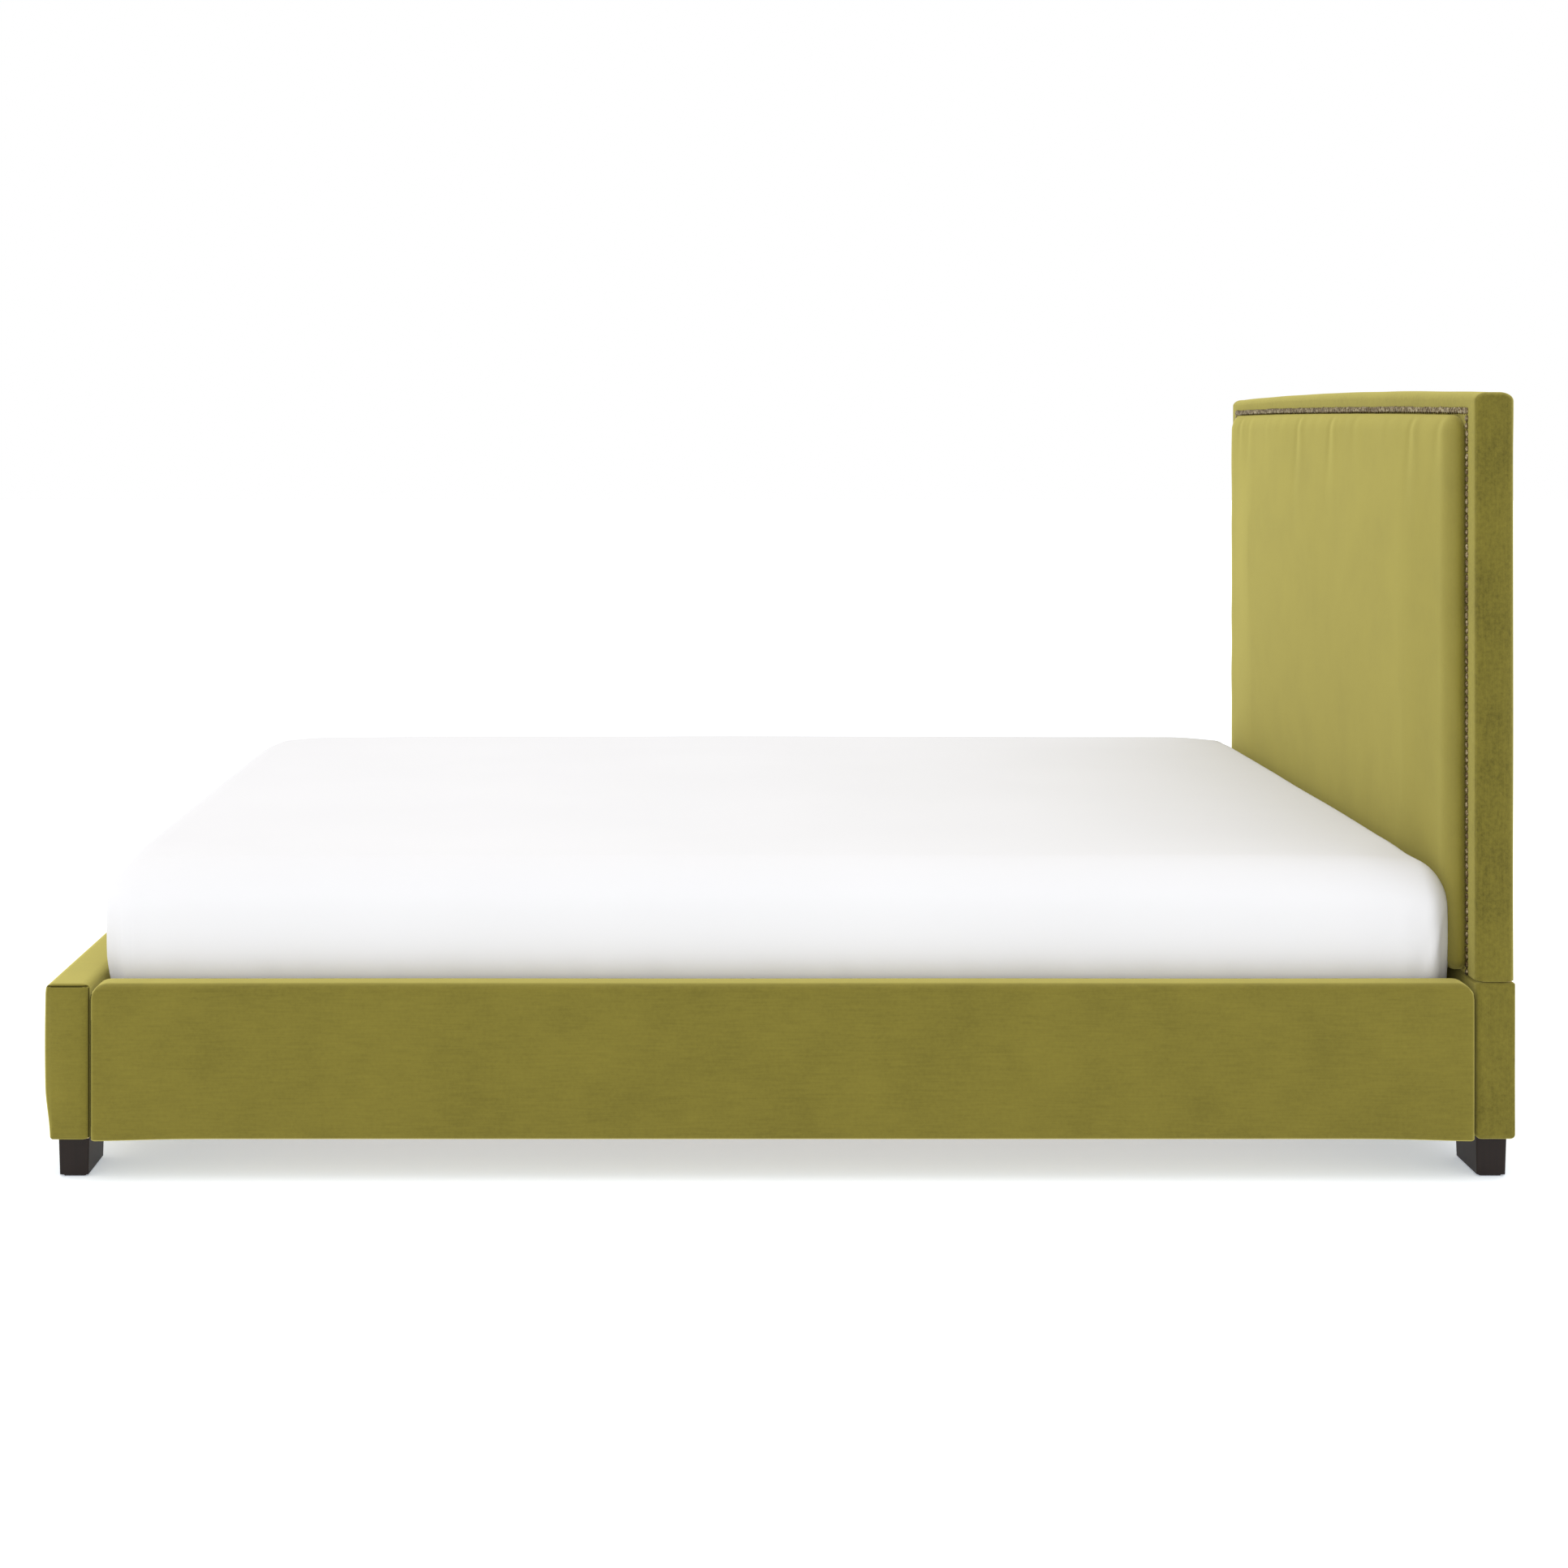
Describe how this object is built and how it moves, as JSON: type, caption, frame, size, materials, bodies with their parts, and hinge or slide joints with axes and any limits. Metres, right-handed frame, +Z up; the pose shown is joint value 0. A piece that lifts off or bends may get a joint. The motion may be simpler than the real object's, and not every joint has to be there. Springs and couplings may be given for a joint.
{
  "type": "upholstered headboard bed",
  "caption": "Queen-size platform bed with a nail-trimmed padded headboard, padded rails and footboard, a slatted base and a mattress in a fitted sheet.",
  "frame": {"origin": "on the floor under the middle of the bed", "axes": "+Z up, +Y towards the headboard, +X to the right of someone who stands at the foot and faces the headboard; the bed is mirror-symmetric about X = 0"},
  "size_m": [1.63, 2.19, 1.1828],
  "materials": {
    "velvet": "olive green velvet, matte",
    "foam": "open cell foam, matte",
    "softwood": "planed pine, matte",
    "plywood": "plywood, matte",
    "stained_wood": "espresso stain, satin",
    "black_steel": "black powder coat, satin",
    "zinc_steel": "zinc plated, satin",
    "foot_plastic": "moulded nylon, matte",
    "antique_brass": "antiqued pewter brass, satin",
    "felt": "pressed felt, matte",
    "webbing": "woven polypropylene, matte",
    "sheet_cotton": "white percale cotton, matte",
    "ticking": "knitted polyester, matte"
  },
  "bodies": {
    "bed_frame": {"back_cover": "velvet", "beam_hanger_foot": "black_steel", "beam_hanger_head": "black_steel", "border_cover": "velvet", "border_pad": "foam", "centre_beam": "softwood", "centre_leg_1": "softwood", "centre_leg_2": "softwood", "centre_leg_3": "softwood", "centre_leg_studs": "zinc_steel", "corner_bolts": "zinc_steel", "corner_bracket_foot_left": "black_steel", "corner_bracket_foot_right": "black_steel", "corner_bracket_head_left": "black_steel", "corner_bracket_head_right": "black_steel", "footboard_board": "plywood", "footboard_bottom_rail": "softwood", "footboard_centre_post": "softwood", "footboard_cover": "velvet", "footboard_pad": "foam", "footboard_post_left": "softwood", "footboard_post_right": "softwood", "footboard_top_rail": "softwood", "frame_screws": "zinc_steel", "headboard_board": "plywood", "headboard_bottom_rail": "softwood", "headboard_mid_rail": "softwood", "headboard_stile_left": "softwood", "headboard_stile_right": "softwood", "headboard_top_rail": "softwood", "leg_foot_left": "stained_wood", "leg_foot_right": "stained_wood", "leg_glides": "felt", "leg_head_left": "stained_wood", "leg_head_right": "stained_wood", "leg_studs": "zinc_steel", "lower_cover": "velvet", "lower_pad": "foam", "nailheads": "antique_brass", "panel_cover": "velvet", "panel_foam": "foam", "rail_core_left": "softwood", "rail_core_right": "softwood", "rail_cover_left": "velvet", "rail_cover_right": "velvet", "rail_pad_left": "foam", "rail_pad_right": "foam", "slat_cleat_left": "softwood", "slat_cleat_right": "softwood", "slat_straps": "webbing", "slats": "softwood"},
    "mattress": {"mattress_core": "foam", "comfort_layer": "foam", "mattress_cover": "ticking", "mattress_base_cloth": "ticking", "fitted_sheet": "sheet_cotton"},
    "foot_1": {"levelling_foot_1": "foot_plastic"},
    "foot_2": {"levelling_foot_2": "foot_plastic"},
    "foot_3": {"levelling_foot_3": "foot_plastic"}
  },
  "joints": [
    {"name": "mattress_lift", "type": "slide", "parent": "bed_frame", "child": "mattress", "axis": [0, 0, 1], "range_m": [0, 0.4]},
    {"name": "foot_1_screw", "type": "slide", "parent": "bed_frame", "child": "foot_1", "axis": [0, 0, 1], "range_m": [0, 0.012]},
    {"name": "foot_2_screw", "type": "slide", "parent": "bed_frame", "child": "foot_2", "axis": [0, 0, 1], "range_m": [0, 0.012]},
    {"name": "foot_3_screw", "type": "slide", "parent": "bed_frame", "child": "foot_3", "axis": [0, 0, 1], "range_m": [0, 0.012]}
  ]
}
